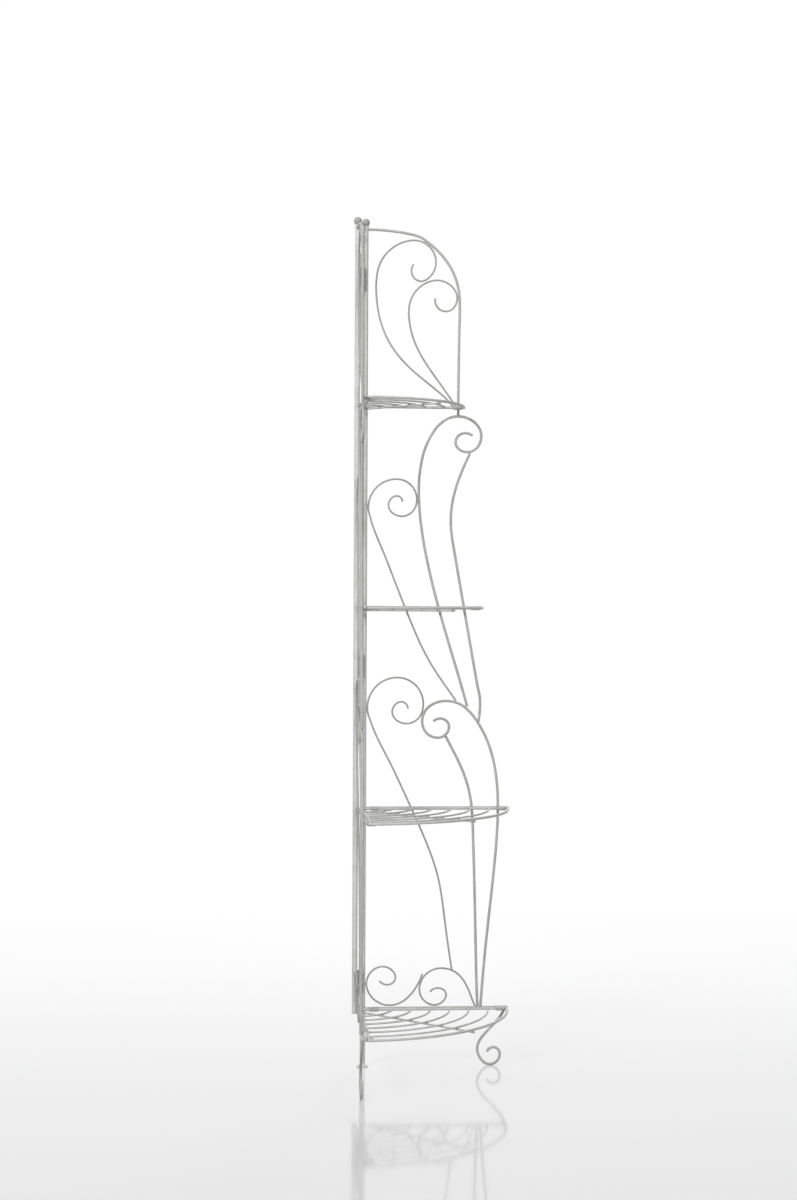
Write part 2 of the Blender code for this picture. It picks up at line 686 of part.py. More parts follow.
def hinge_leaf(frame, height):
    """A leaf on its tube's inner side, with every other knuckle: the right leaf has the odd ones."""
    line = rolled_eye(PIN_D / 2 + PIN_CLEARANCE, LEAF_THICKNESS, TUBE_SETBACK + LEAF_PAST_TUBE_AXIS - pin_axis)
    if frame == "right":
        line = [(-x, y) for x, y in line]
    else:
        line = [(-y, x) for x, y in line]
    leaf = strip(line, LEAF_HEIGHT, LEAF_THICKNESS)
    leaf.location = spot("right", pin_axis, pin_axis, height)
    pitch = LEAF_HEIGHT / KNUCKLES
    room = 2 * (knuckle_r + KNUCKLE_GAP)
    cutters = []
    for i in range(KNUCKLES):
        if i % 2 == (0 if frame == "right" else 1):
            continue
        bottom = height - LEAF_HEIGHT / 2 + pitch * i - (KNUCKLE_GAP if i == 0 else KNUCKLE_GAP / 2)
        top = height - LEAF_HEIGHT / 2 + pitch * (i + 1)
        top += KNUCKLE_GAP if i == KNUCKLES - 1 else KNUCKLE_GAP / 2
        size = (room, room, top - bottom)
        cutters.append(box(size, spot("right", pin_axis, pin_axis, (top + bottom) / 2)))
    return combined(leaf, cutters, "DIFFERENCE")


def hinge_pin(height):
    """A pin through all the knuckles, with a thin head at each end."""
    head_r = PIN_D / 2 + PIN_HEAD_EDGE
    half = LEAF_HEIGHT / 2 + WELD_GAP
    profile = [
        (0, half + PIN_HEAD_THICKNESS),
        (head_r, half + PIN_HEAD_THICKNESS),
        (head_r, half),
        (PIN_D / 2, half),
        (PIN_D / 2, -half),
        (head_r, -half),
        (head_r, -half - PIN_HEAD_THICKNESS),
        (0, -half - PIN_HEAD_THICKNESS),
    ]
    obj = turned(profile)
    obj.location = spot("right", pin_axis, pin_axis, height)
    return obj


def pivot(name, place):
    """An empty on a joint's axis, which carries one moving body."""
    empty = bpy.data.objects.new(name, None)
    empty.location = place
    empty.empty_display_size = 0.03
    parts.objects.link(empty)
    return empty


for old in list(bpy.data.objects):
    bpy.data.objects.remove(old)

parts = bpy.data.collections.new("folding_corner_shelf")
helpers = bpy.data.collections.new("helpers")
helpers.hide_render = True
bpy.context.scene.collection.children.link(parts)
bpy.context.scene.collection.children.link(helpers)

tube_paint = paint("tube_paint", (0.72, 0.71, 0.67), 0.42)
rod_paint = paint("rod_paint", (0.66, 0.66, 0.64), 0.45)
wire_paint = paint("wire_paint", (0.64, 0.64, 0.62), 0.45)
shelf_paint = paint("shelf_paint", (0.68, 0.68, 0.66), 0.45)
hinge_paint = paint("hinge_paint", (0.58, 0.58, 0.56), 0.5)

frame_pivots = {
    "right": pivot("right_frame_origin", (0, 0, 0)),
    "left": pivot("left_frame_pivot", spot("right", pin_axis, pin_axis, hinge_heights[0])),
}

drawing = frame_drawing()
for frame, body in frame_pivots.items():
    bottom = levels[0] - LEFT_TUBE_DROP
    if frame == "right":
        bottom = FOOT_DISC_THICKNESS + WELD_GAP
        fix(foot_disc(), "corner_foot_disc", tube_paint, body)
    tube = corner_tube(frame, bottom)
    fix(tube, frame + "_corner_tube", tube_paint, body)
    fix(ball_finial(frame), frame + "_ball_finial", tube_paint, body)
    for name, (line, radius) in drawing.items():
        n = 0 if radius > wire_r else wire_n
        rod = rod_along([spot(frame, u, n, z) for u, z in line], radius)
        fix(rod, frame + "_" + name, rod_paint if radius > wire_r else wire_paint, body)
    for number, (level, radius) in enumerate(zip(levels, SHELF_RADII), 1):
        made = right_rail(level, radius) if frame == "right" else left_rail(level, radius)
        fix(made, f"{frame}_rail_{number}", rod_paint, body)

for number, height in enumerate(hinge_heights, 1):
    fix(hinge_leaf("right", height), f"hinge_{number}_right_leaf", hinge_paint, frame_pivots["right"])
    fix(hinge_leaf("left", height), f"hinge_{number}_left_leaf", hinge_paint, frame_pivots["left"])
    fix(hinge_pin(height), f"hinge_{number}_pin", hinge_paint, frame_pivots["right"])

for number, (level, radius) in enumerate(zip(levels, SHELF_RADII), 1):
    body = pivot(f"shelf_{number}_pivot", spot("right", SHELF_INSET, SHELF_INSET, level))
    fix(shelf_grid(level, radius), f"shelf_{number}_grid", shelf_paint, body)
    fix(front_bar(level, radius), f"shelf_{number}_front_bar", shelf_paint, body)
    fix(brace(level, radius), f"shelf_{number}_brace", shelf_paint, body)
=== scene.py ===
from math import asin, ceil, cos, pi, radians, sin, sqrt

import bmesh
import bpy
import numpy as np
from mathutils import Matrix, Vector


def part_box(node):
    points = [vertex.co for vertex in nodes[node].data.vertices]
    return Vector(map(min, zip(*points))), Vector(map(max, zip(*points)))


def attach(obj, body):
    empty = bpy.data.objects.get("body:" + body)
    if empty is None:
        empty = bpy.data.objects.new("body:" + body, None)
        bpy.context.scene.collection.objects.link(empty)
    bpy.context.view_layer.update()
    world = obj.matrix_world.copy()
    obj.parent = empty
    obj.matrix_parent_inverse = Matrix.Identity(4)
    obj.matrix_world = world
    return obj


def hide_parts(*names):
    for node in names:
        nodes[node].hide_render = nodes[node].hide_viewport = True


# Folding corner shelf unit in white painted iron. Metres, +Z up. The right frame stands along +X and the left
# frame along -Y, and the origin is the middle of the underside of the corner foot.
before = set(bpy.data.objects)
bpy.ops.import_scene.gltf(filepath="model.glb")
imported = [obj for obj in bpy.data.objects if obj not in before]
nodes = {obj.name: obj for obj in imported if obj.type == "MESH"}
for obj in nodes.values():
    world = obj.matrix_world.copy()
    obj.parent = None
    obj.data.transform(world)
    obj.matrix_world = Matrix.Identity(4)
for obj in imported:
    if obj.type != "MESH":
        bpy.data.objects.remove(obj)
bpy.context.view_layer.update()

# Camera: a long lens at chest height, nearly four metres in front of the corner, turned a few degrees to the
# right and held very slightly out of level, as the photograph was taken.
CAMERA_DISTANCE = 3.89
CAMERA_HEIGHT = 0.8726
CAMERA_YAW = radians(4.15)
CAMERA_ROLL = 0.0045
CORNER_LEFT_OF_MIDDLE = 0.0657
PIXELS_PER_METRE = 530.0
PHOTO_HEIGHT = 1200
HORIZON_BELOW_MIDDLE = 4.4
MIDDLE_LEFT_OF_LENS = 0.6
FILM_WIDTH = 36

sight = Vector((sin(CAMERA_YAW), cos(CAMERA_YAW), 0))
across = Vector((cos(CAMERA_YAW), -sin(CAMERA_YAW), 0))
upright = Vector((0, 0, 1))
camera_data = bpy.data.cameras.new("camera")
camera_data.sensor_width = FILM_WIDTH
camera_data.lens = PIXELS_PER_METRE * CAMERA_DISTANCE / PHOTO_HEIGHT * FILM_WIDTH
camera_data.shift_x = -MIDDLE_LEFT_OF_LENS / PHOTO_HEIGHT
camera_data.shift_y = HORIZON_BELOW_MIDDLE / PHOTO_HEIGHT
camera = bpy.data.objects.new("camera", camera_data)
rolled_across = (across + CAMERA_ROLL * upright).normalized()
rolled_up = (upright - CAMERA_ROLL * across).normalized()
lens_at = CORNER_LEFT_OF_MIDDLE * across - CAMERA_DISTANCE * sight + CAMERA_HEIGHT * upright
facing = Matrix((rolled_across, rolled_up, -sight)).transposed()
camera.matrix_world = Matrix.Translation(lens_at) @ facing.to_4x4()
bpy.context.scene.collection.objects.link(camera)
bpy.context.scene.camera = camera
bpy.context.scene.view_settings.view_transform = "Standard"

# Studio: a white surround that the camera and the glossy surfaces see, three large soft lamps that nothing
# glossy mirrors, two in front and one behind, and a wide white floor, a little grey near the camera and
# polished enough to mirror the feet faintly.
ROOM_LIGHT = 0.22
ROOM_TINT = (0.95, 0.97, 1.0, 1)
# Metres behind the corner, and how white the floor is there.
FLOOR_TONES = ((-2.4, 1.0), (-0.95, 0.78), (-0.26, 0.83), (0.65, 0.91), (1.31, 0.965), (2.0, 1.0))
FLOOR_MIRROR = 0.31
FLOOR_SHADOW = 0.35
FLOOR_LIT = 0.37
FLOOR_STRENGTH = 1.2
FLOOR_BASE = (0.4, 0.4, 0.405, 1)
FLOOR_POLISH = 0.08
FLOOR_REACH = 12
NEAR_FADE = (1.1, 2.0)
FAR_FADE = (3.0, 6.5)
LAMP_AIM = Vector((0.1, -0.1, 0.8))
# Name, place, size in metres, watts and tint.
LAMPS = (
    ("key_lamp", (-3.0, -4.2, 5.2), 1.6, 365, (1.0, 1.0, 1.0)),
    ("fill_lamp", (1.2, -5.8, 1.1), 1.6, 120, (1.0, 1.0, 0.97)),
    ("back_lamp", (1.8, 4.6, 4.2), 1.6, 260, (1.0, 1.0, 1.0)),
)


def seen_rays(tree):
    """1 for the rays that show the surround: camera, glossy and transmission rays."""
    path = tree.nodes.new("ShaderNodeLightPath")
    total = path.outputs["Is Camera Ray"]
    for name in ("Is Glossy Ray", "Is Transmission Ray"):
        add = tree.nodes.new("ShaderNodeMath")
        add.operation = "MAXIMUM"
        tree.links.new(total, add.inputs[0])
        tree.links.new(path.outputs[name], add.inputs[1])
        total = add.outputs[0]
    return total


def mixed(tree, share, first, second):
    """A shader between two others, by a number or by another node's output."""
    mix = tree.nodes.new("ShaderNodeMixShader")
    if isinstance(share, float):
        mix.inputs[0].default_value = share
    else:
        tree.links.new(share, mix.inputs[0])
    tree.links.new(first, mix.inputs[1])
    tree.links.new(second, mix.inputs[2])
    return mix.outputs[0]


world = bpy.data.worlds.new("studio")
bpy.context.scene.world = world
world.use_nodes = True
tree = world.node_tree
tree.nodes.clear()
room_light = tree.nodes.new("ShaderNodeBackground")
room_light.inputs["Color"].default_value = ROOM_TINT
room_light.inputs["Strength"].default_value = ROOM_LIGHT
white_surround = tree.nodes.new("ShaderNodeBackground")
white_surround.inputs["Color"].default_value = (1, 1, 1, 1)
world_output = tree.nodes.new("ShaderNodeOutputWorld")
shown = mixed(tree, seen_rays(tree), room_light.outputs[0], white_surround.outputs[0])
tree.links.new(shown, world_output.inputs["Surface"])

for name, stand, size, power, colour in LAMPS:
    lamp_data = bpy.data.lights.new(name, "AREA")
    lamp_data.size = size
    lamp_data.energy = power
    lamp_data.color = colour
    lamp = bpy.data.objects.new(name, lamp_data)
    lamp.location = stand
    lamp.visible_glossy = False
    lamp.rotation_euler = (Vector(stand) - LAMP_AIM).to_track_quat("Z", "Y").to_euler()
    bpy.context.scene.collection.objects.link(lamp)

floor_mesh = bpy.data.meshes.new("studio_floor")
floor_corners = [(FLOOR_REACH * x, FLOOR_REACH * y, 0) for x, y in ((-1, -1), (1, -1), (1, 1), (-1, 1))]
floor_mesh.from_pydata(floor_corners, [], [(0, 1, 2, 3)])
floor = bpy.data.objects.new("studio_floor", floor_mesh)
bpy.context.scene.collection.objects.link(floor)
floor_finish = bpy.data.materials.new("studio_floor")
floor_finish.use_nodes = True
tree = floor_finish.node_tree
lit = tree.nodes["Principled BSDF"]
lit.inputs["Base Color"].default_value = FLOOR_BASE
lit.inputs["Roughness"].default_value = 0.9
lit.inputs["Specular IOR Level"].default_value = 0.0
floor_place = tree.nodes.new("ShaderNodeTexCoord")
depth = tree.nodes.new("ShaderNodeSeparateXYZ")
tree.links.new(floor_place.outputs["Object"], depth.inputs[0])
first_y, last_y = FLOOR_TONES[0][0], FLOOR_TONES[-1][0]
depth_share = tree.nodes.new("ShaderNodeMapRange")
depth_share.inputs["From Min"].default_value = first_y
depth_share.inputs["From Max"].default_value = last_y
tree.links.new(depth.outputs["Y"], depth_share.inputs["Value"])
away = tree.nodes.new("ShaderNodeVectorMath")
away.operation = "LENGTH"
tree.links.new(floor_place.outputs["Object"], away.inputs[0])


def fading(start, end):
    """0 on the floor as far as the start distance from the object, and 1 beyond the end distance."""
    made = tree.nodes.new("ShaderNodeMapRange")
    made.interpolation_type = "SMOOTHSTEP"
    made.inputs["From Min"].default_value = start
    made.inputs["From Max"].default_value = end
    tree.links.new(away.outputs["Value"], made.inputs["Value"])
    return made.outputs[0]


def floor_glow(mirrored, shaded):
    """The floor's own white, less what its mirroring and its lit share add to it."""
    ramp = tree.nodes.new("ShaderNodeValToRGB")
    ramp.color_ramp.elements.remove(ramp.color_ramp.elements[-1])
    for i, (y, tone) in enumerate(FLOOR_TONES):
        mark = (y - first_y) / (last_y - first_y)
        stop = ramp.color_ramp.elements[0] if i == 0 else ramp.color_ramp.elements.new(mark)
        stop.position = mark
        own = ((tone - mirrored) / (1 - mirrored) - shaded * FLOOR_LIT) / (1 - shaded) / FLOOR_STRENGTH
        stop.color = (own, own, own, 1)
    tree.links.new(depth_share.outputs[0], ramp.inputs[0])
    glow = tree.nodes.new("ShaderNodeEmission")
    glow.inputs["Strength"].default_value = FLOOR_STRENGTH
    tree.links.new(ramp.outputs[0], glow.inputs["Color"])
    return glow.outputs[0]


polish = tree.nodes.new("ShaderNodeBsdfAnisotropic")
polish.inputs["Color"].default_value = (1, 1, 1, 1)
polish.inputs["Roughness"].default_value = FLOOR_POLISH
white = tree.nodes.new("ShaderNodeEmission")
near = mixed(tree, FLOOR_SHADOW, floor_glow(FLOOR_MIRROR, FLOOR_SHADOW), lit.outputs[0])
near = mixed(tree, FLOOR_MIRROR, near, polish.outputs[0])
face = mixed(tree, fading(*NEAR_FADE), near, floor_glow(0.0, 0.0))
face = mixed(tree, fading(*FAR_FADE), face, white.outputs[0])
shown = mixed(tree, seen_rays(tree), lit.outputs[0], face)
tree.links.new(shown, tree.nodes["Material Output"].inputs["Surface"])
floor_mesh.materials.append(floor_finish)


# Corner posts: two upright steel tubes side by side, each closed by a ball welded on its rim. Only the right
# one reaches the floor, where it stands on a round plate. The white paint is brushed on, cloudy and worn thin
# in spots, and made darker on the balls as painted shade.
TUBE_WALL = 0.001
TUBE_EDGE = 0.0002
WELD_BULGE = 0.0008
WELD_STEPS = 6
BALL_STEPS = 20
ROUND_STEPS = 48
FOOT_TOP_EDGE = ((0.0012, 0.0003), (0.0004, 0.0006), (0, 0.0013))
FOOT_LOW_EDGE = ((0, 0.0008), (0.0005, 0.0002), (0.0012, 0))
SHARP_ANGLE = radians(38)
THICK_COAT = 1.06
THIN_COAT = (0.93, 0.93, 0.88)
BARE_IRON = (0.17, 0.15, 0.13, 1)
PAINT_SHINE = 0.25
SHINIER, DULLER = 0.07, 0.12
RUBBED_THROUGH = 0.6
# Patches in the paint: noise scale, detail, and the marks between which one shade passes to the other.
CLOUDS = (42, 5, 0.36, 0.62)
RUBBED_SPOTS = (230, 3, 0.70, 0.75)
SHEEN = (150, 3, 0.3, 0.7)
# Relief of the paint: noise scale, strength and height in metres.
LUMPS = (240, 0.11, 0.0004)
PITS = (1300, 0.15, 0.0001)
RELIEF_DETAIL = 2
# The mix node's colour sockets, whose names its other sockets share.
MIX_FIRST, MIX_SECOND, MIX_RESULT = 6, 7, 2
SAME_POINT = 1e-6


def iron_paint(name, tone, gloss, seed):
    """White paint brushed over iron: cloudy in tone, finely pitted, and rubbed through here and there."""
    paint = bpy.data.materials.new(name)
    paint.use_nodes = True
    tree = paint.node_tree
    shader = tree.nodes["Principled BSDF"]
    shader.inputs["Specular IOR Level"].default_value = PAINT_SHINE
    where = tree.nodes.new("ShaderNodeTexCoord")
    centre = tree.nodes.new("ShaderNodeMapping")
    centre.inputs["Location"].default_value = (seed, 2 * seed, 3 * seed)
    tree.links.new(where.outputs["Object"], centre.inputs["Vector"])

    def noise(scale, detail):
        made = tree.nodes.new("ShaderNodeTexNoise")
        made.inputs["Scale"].default_value = scale
        made.inputs["Detail"].default_value = detail
        tree.links.new(centre.outputs[0], made.inputs["Vector"])
        return made.outputs["Fac"]

    def patches(scale, detail, first, last, low, high):
        made = tree.nodes.new("ShaderNodeValToRGB")
        for stop, mark, colour in zip(made.color_ramp.elements, (first, last), (low, high)):
            stop.position = mark
            stop.color = (*colour, 1)
        tree.links.new(noise(scale, detail), made.inputs[0])
        return made.outputs[0]

    def relief(scale, strength, height):
        made = tree.nodes.new("ShaderNodeBump")
        made.inputs["Strength"].default_value = strength
        made.inputs["Distance"].default_value = height
        tree.links.new(noise(scale, RELIEF_DETAIL), made.inputs["Height"])
        return made

    clouds = patches(*CLOUDS, np.array(tone) * THIN_COAT, np.array(tone) * THICK_COAT)
    rubbed = patches(*RUBBED_SPOTS, (0, 0, 0), (RUBBED_THROUGH,) * 3)
    worn = tree.nodes.new("ShaderNodeMix")
    worn.data_type = "RGBA"
    worn.inputs[MIX_SECOND].default_value = BARE_IRON
    tree.links.new(rubbed, worn.inputs[0])
    tree.links.new(clouds, worn.inputs[MIX_FIRST])
    tree.links.new(worn.outputs[MIX_RESULT], shader.inputs["Base Color"])
    sheen = patches(*SHEEN, (gloss - SHINIER,) * 3, (gloss + DULLER,) * 3)
    tree.links.new(sheen, shader.inputs["Roughness"])
    lumps = relief(*LUMPS)
    pits = relief(*PITS)
    tree.links.new(lumps.outputs[0], pits.inputs["Normal"])
    tree.links.new(pits.outputs[0], shader.inputs["Normal"])
    return paint


def turned(profile, axis, ring=False):
    """Work turned about an upright axis from a profile of (radius, height) points, which a ring closes."""
    work = bmesh.new()
    verts = [work.verts.new((axis.x + radius, axis.y, height)) for radius, height in profile]
    edges = [work.edges.new(pair) for pair in zip(verts, verts[1:])]
    if ring:
        edges.append(work.edges.new((verts[-1], verts[0])))
    bmesh.ops.spin(
        work, geom=verts + edges, cent=(axis.x, axis.y, 0), axis=(0, 0, 1), angle=2 * pi,
        steps=ROUND_STEPS,
    )
    bmesh.ops.remove_doubles(work, verts=work.verts, dist=SAME_POINT)
    bmesh.ops.recalc_face_normals(work, faces=work.faces)
    return work


def fitted(name, mesh, paint, slot, body, *replaced):
    """Finishes a piece: paints it, smooths it up to its sharp edges, and fixes it to the body it is on."""
    if isinstance(mesh, bmesh.types.BMesh):
        work, mesh = mesh, bpy.data.meshes.new(name)
        work.to_mesh(mesh)
        work.free()
    mesh.shade_smooth()
    mesh.set_sharp_from_angle(angle=SHARP_ANGLE)
    mesh.materials.clear()
    mesh.materials.append(paint)
    piece = bpy.data.objects.new(name, mesh)
    bpy.context.scene.collection.objects.link(piece)
    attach(piece, body)
    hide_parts(*replaced)


def bulge(radius, height, first, last):
    """The rounded outline of a weld between two angles, about a point of the profile."""
    turns = [radians(first + (last - first) * i / WELD_STEPS) for i in range(WELD_STEPS + 1)]
    return [(radius + WELD_BULGE * cos(a), height + WELD_BULGE * sin(a)) for a in turns]


tube_paint = iron_paint("tube_paint", (0.54, 0.54, 0.53), 0.36, 1.7)
# The balls' darker paint is painted shade: they carry the same white paint as the tubes.
shaded_ball_paint = iron_paint("shaded_ball_paint", (0.35, 0.35, 0.345), 0.36, 3.1)
posts = {}
for side in ("right", "left"):
    low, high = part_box(side + "_corner_tube")
    axis, tube_r = (low + high) / 2, (high.x - low.x) / 2
    posts[side] = (Vector((axis.x, axis.y, low.z)), Vector((axis.x, axis.y, high.z)))
    bore = tube_r - TUBE_WALL
    wall = [
        (bore, high.z), (tube_r - TUBE_EDGE, high.z), (tube_r, high.z - TUBE_EDGE),
        (tube_r, low.z + TUBE_EDGE), (tube_r - TUBE_EDGE, low.z), (bore, low.z),
    ]
    tube = turned(wall, axis, ring=True)
    fitted(side + "_post", tube, tube_paint, "tube_paint", side + "_frame", side + "_corner_tube")
    ball_low, ball_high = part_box(side + "_ball_finial")
    ball_r = (ball_high.x - ball_low.x) / 2
    middle = ball_high.z - ball_r
    seat = asin((middle - high.z) / ball_r)
    turns = [pi / 2 - (pi / 2 + seat) * i / BALL_STEPS for i in range(BALL_STEPS)]
    ball = [(ball_r * cos(a) if i else 0, middle + ball_r * sin(a)) for i, a in enumerate(turns)]
    ball += bulge(tube_r, high.z, first=60, last=-80)
    ball += [(bore, high.z - WELD_BULGE), (0, high.z - WELD_BULGE)]
    ball = turned(ball, axis)
    fitted(side + "_ball", ball, shaded_ball_paint, "tube_paint", side + "_frame", side + "_ball_finial")

low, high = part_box("corner_foot_disc")
axis, foot_r = (low + high) / 2, (high.x - low.x) / 2
foot_top = posts["right"][0].z
foot = [(0, foot_top + WELD_BULGE), (tube_r, foot_top + WELD_BULGE)]
foot += bulge(tube_r, foot_top, first=70, last=0)
foot += [(foot_r - inward, foot_top - down) for inward, down in FOOT_TOP_EDGE]
foot += [(foot_r - inward, up) for inward, up in FOOT_LOW_EDGE] + [(0, 0)]
fitted("corner_foot", turned(foot, axis), tube_paint, "tube_paint", "right_frame", "corner_foot_disc")


# Hinges: three butt hinges join the tubes, painted dark grey as painted shade for the gap between the tubes.
# Each leaf is a strip of sheet steel, welded along its tube and rolled into knuckles round a loose pin with
# two thin heads.
KNUCKLES = 5
KNUCKLE_GAP = 0.0005
KNUCKLE_STEPS = 30
PIN_HEAD = 0.0011
PIN_HEAD_EDGE = ((0.0006, 0.0001), (0, 0.0005))
HEAD_PAST_PIN = 0.0008
PIN_PLAY = 0.0002
LEAF_PAST_TURN = 0.0002
LEAF_WELD = (0.0035, 0.0009, 0.0009)
LEAF_WELD_FROM_END = 0.004
ROLL_OPEN = radians(28)
SHEET_EDGE = 0.00018
SHEET_CORNER = radians(60)


def rolled_line(middle, tail):
    """The middle line of a strip rolled round a bar, in (along, out) points: its tail and its turn."""
    turns = [pi / 2 - (2 * pi - ROLL_OPEN) * i / KNUCKLE_STEPS for i in range(KNUCKLE_STEPS + 1)]
    return [(-tail, middle)], [(middle * cos(a), middle * sin(a)) for a in turns]


def add_sheet(work, line, thickness, start, end, place):
    """Adds bent sheet metal: a middle line drawn in side view, made as wide as from start to end."""
    points = np.array(line)
    chords = np.diff(points, axis=0)
    chords /= np.linalg.norm(chords, axis=1)[:, None]
    along = np.vstack([chords[:1], chords[:-1] + chords[1:], chords[-1:]])
    along /= np.linalg.norm(along, axis=1)[:, None]
    bends = np.ones(len(points))
    bends[1:-1] = (along[1:-1] * chords[1:]).sum(1)
    out = np.stack([-along[:, 1], along[:, 0]], 1) * (thickness / 2 / bends)[:, None]
    stations = []
    for point, side in zip(points, out):
        corners = ((point + side, start), (point - side, start), (point - side, end), (point + side, end))
        stations.append([work.verts.new(place(a, b, c)) for (a, b), c in corners])
    faces = [work.faces.new(stations[0]), work.faces.new(stations[-1])]
    for here, following in zip(stations, stations[1:]):
        for i in range(4):
            j = (i + 1) % 4
            faces.append(work.faces.new((here[i], here[j], following[j], following[i])))
    bmesh.ops.recalc_face_normals(work, faces=faces)


def with_broken_edges(work):
    """The sheet work with its sharp edges rounded as thick paint leaves them."""
    sharp = [e for e in work.edges if len(e.link_faces) == 2 and e.calc_face_angle() > SHEET_CORNER]
    bmesh.ops.bevel(work, geom=sharp, offset=SHEET_EDGE, segments=2, affect="EDGES", clamp_overlap=True)
    return work


# The hinges' dark grey paint is painted shade, for the shade in the gap between the tubes.
hinge_paint = iron_paint("hinge_paint", (0.24, 0.24, 0.23), 0.46, 5.3)
leaf_welds = {"right": [], "left": []}
for number in (1, 2, 3):
    pin_low, pin_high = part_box(f"hinge_{number}_pin")
    pin = (pin_low + pin_high) / 2
    head_r = (pin_high.x - pin_low.x) / 2
    for side in ("right", "left"):
        low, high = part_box(f"hinge_{number}_{side}_leaf")
        if side == "right":
            knuckle_r, tail = pin.y - low.y, high.x - pin.x
        else:
            knuckle_r, tail = high.x - pin.x, pin.y - low.y

        def on_hinge(back, out, height):
            if side == "right":
                return pin.x - back, pin.y + out, height
            return pin.x - out, pin.y + back, height

        pin_r = head_r - HEAD_PAST_PIN
        thickness = knuckle_r - pin_r - PIN_PLAY
        middle = knuckle_r - thickness / 2
        tail_line, turn_line = rolled_line(middle, tail)
        work = bmesh.new()
        add_sheet(work, tail_line + [(LEAF_PAST_TURN, middle)], thickness, low.z, high.z, on_hinge)
        pitch = (high.z - low.z) / KNUCKLES
        for i in range(0 if side == "right" else 1, KNUCKLES, 2):
            start = low.z + pitch * i + KNUCKLE_GAP / 2
            end = low.z + pitch * (i + 1) - KNUCKLE_GAP / 2
            add_sheet(work, turn_line, thickness, start, end, on_hinge)
        leaf = f"hinge_{number}_{side}"
        fitted(leaf, with_broken_edges(work), hinge_paint, "hinge_paint", side + "_frame", leaf + "_leaf")
        post = posts[side][0]
        for height in (low.z + LEAF_WELD_FROM_END, (low.z + high.z) / 2, high.z - LEAF_WELD_FROM_END):
            seam = Vector(on_hinge(-tail, middle, height))
            towards = Vector((post.x, post.y, height)) - seam
            leaf_welds[side].append((seam, upright, towards.normalized(), LEAF_WELD))
    half = (pin_high.z - pin_low.z) / 2
    rod = [(0, half)] + [(head_r - inward, half - down) for inward, down in PIN_HEAD_EDGE]
    rod += [(head_r, half - PIN_HEAD), (pin_r, half - PIN_HEAD)]
    rod += [(radius, -height) for radius, height in reversed(rod)]
    rod = turned([(radius, height + pin.z) for radius, height in rod], pin)
    fitted(f"hinge_{number}_rod", rod, hinge_paint, "hinge_paint", "right_frame", f"hinge_{number}_pin")

# Scrollwork: both frames have the same scrolls, bent cold from round rod and thinner wire, and welded
# wherever two of them touch. The lines come from the frame's own rods, and are followed in even bends.
ROD_R = 0.0025
WIRE_R = 0.00175
RODS = (
    "lower_big_scroll", "lower_middle_rod", "upper_big_scroll", "upper_outer_rod", "arch_rod",
    "scroll_foot",
)
WIRES = (
    "bottom_inner_scroll", "bottom_outer_scroll", "lower_small_scroll", "upper_small_scroll",
    "top_large_scroll", "top_small_scroll",
)
BEND_STEP = 0.0025
# How a rod's end is eased: distance from the end in radii, and share of the full radius there.
END_EASE = ((0.0, 0.72), (0.12, 0.9), (0.4, 1.0))
ROUND_SIDES = 14
CAP_REACH = 2.2
CAP_FLATNESS = 2e-5
WELD_REACH = 0.0008
WELD_AT_END = 2
COLLAR_HALF_WIDTH = 0.0014
COLLAR_RISE = 0.0005
BEAD_HALF_LENGTH = 0.0036
BEAD_HALF_RISE = 0.0012
BEAD_FILL = 0.75
# Each bead's own size, between these shares of its half sizes.
BEAD_LEAST = (0.8, 0.85, 0.9)
BEAD_MOST = (1.2, 1.1, 1.1)
SCROLL_BEAD_SEED = 4


def rings_from(ring):
    """The vertices in rings, each one edge further from the given end of a rod."""
    seen, rings = set(ring), [ring]
    while rings[-1]:
        reached = {edge.other_vert(vert) for vert in rings[-1] for edge in vert.link_edges} - seen
        seen |= reached
        rings.append(sorted(reached, key=lambda vert: vert.index))
    return rings[:-1]


def bent_line(name, radius):
    """The points that a rod is bent at: the middles of the rings of its solid, from end to end."""
    work = bmesh.new()
    work.from_mesh(nodes[name].data)
    bmesh.ops.remove_doubles(work, verts=work.verts, dist=SAME_POINT)
    work.verts.ensure_lookup_table()
    work.verts.index_update()
    end = rings_from([work.verts[0]])[-1][0]
    close = [vert for vert in work.verts if (vert.co - end.co).length < CAP_REACH * radius]
    caps = []
    for face in end.link_faces:
        caps.append([vert for vert in close if abs((vert.co - end.co).dot(face.normal)) < CAP_FLATNESS])
    rings = rings_from(max(caps, key=len))
    line = [np.mean([vert.co for vert in ring], axis=0) for ring in rings]
    work.free()
    return line


def even_line(points):
    """A line through the points in even bends, cut into short steps."""
    points = np.array(points)
    chords = np.diff(points, axis=0)
    lengths = np.linalg.norm(chords, axis=1)[:, None]
    along = chords / lengths
    heading = np.empty_like(points)
    heading[1:-1] = along[:-1] * lengths[1:] + along[1:] * lengths[:-1]
    heading[1:-1] /= np.linalg.norm(heading[1:-1], axis=1)[:, None]
    for end, near in ((0, 1), (-1, -2)):
        chord = along[end]
        heading[end] = 2 * (heading[near] @ chord) * chord - heading[near] if len(points) > 2 else chord
    line = [points[0]]
    for i, length in enumerate(lengths[:, 0]):
        for t in np.linspace(0, 1, ceil(length / BEND_STEP) + 1)[1:]:
            line.append(
                points[i] * (1 + 2 * t) * (1 - t) ** 2 + heading[i] * length * t * (1 - t) ** 2
                + points[i + 1] * t * t * (3 - 2 * t) + heading[i + 1] * length * t * t * (t - 1)
            )
    return np.array(line)


def welds_between(lines):
    """A weld wherever two lines touch: a collar round an end, or a bead in the groove beside a line."""
    welds = []
    for number, (first, first_r) in enumerate(lines):
        for second, second_r in lines[number + 1:]:
            gaps = np.linalg.norm(first[:, None] - second[None], axis=2)
            least = gaps.min(1)
            close = np.flatnonzero(least < first_r + second_r + WELD_REACH)
            for run in np.split(close, np.flatnonzero(np.diff(close) > 1) + 1):
                if len(run) == 0:
                    continue
                k = run[np.argmin(least[run])]
                j = gaps[k].argmin()
                welds.append(weld_at(first, first_r, k, second, second_r, j))
    return welds


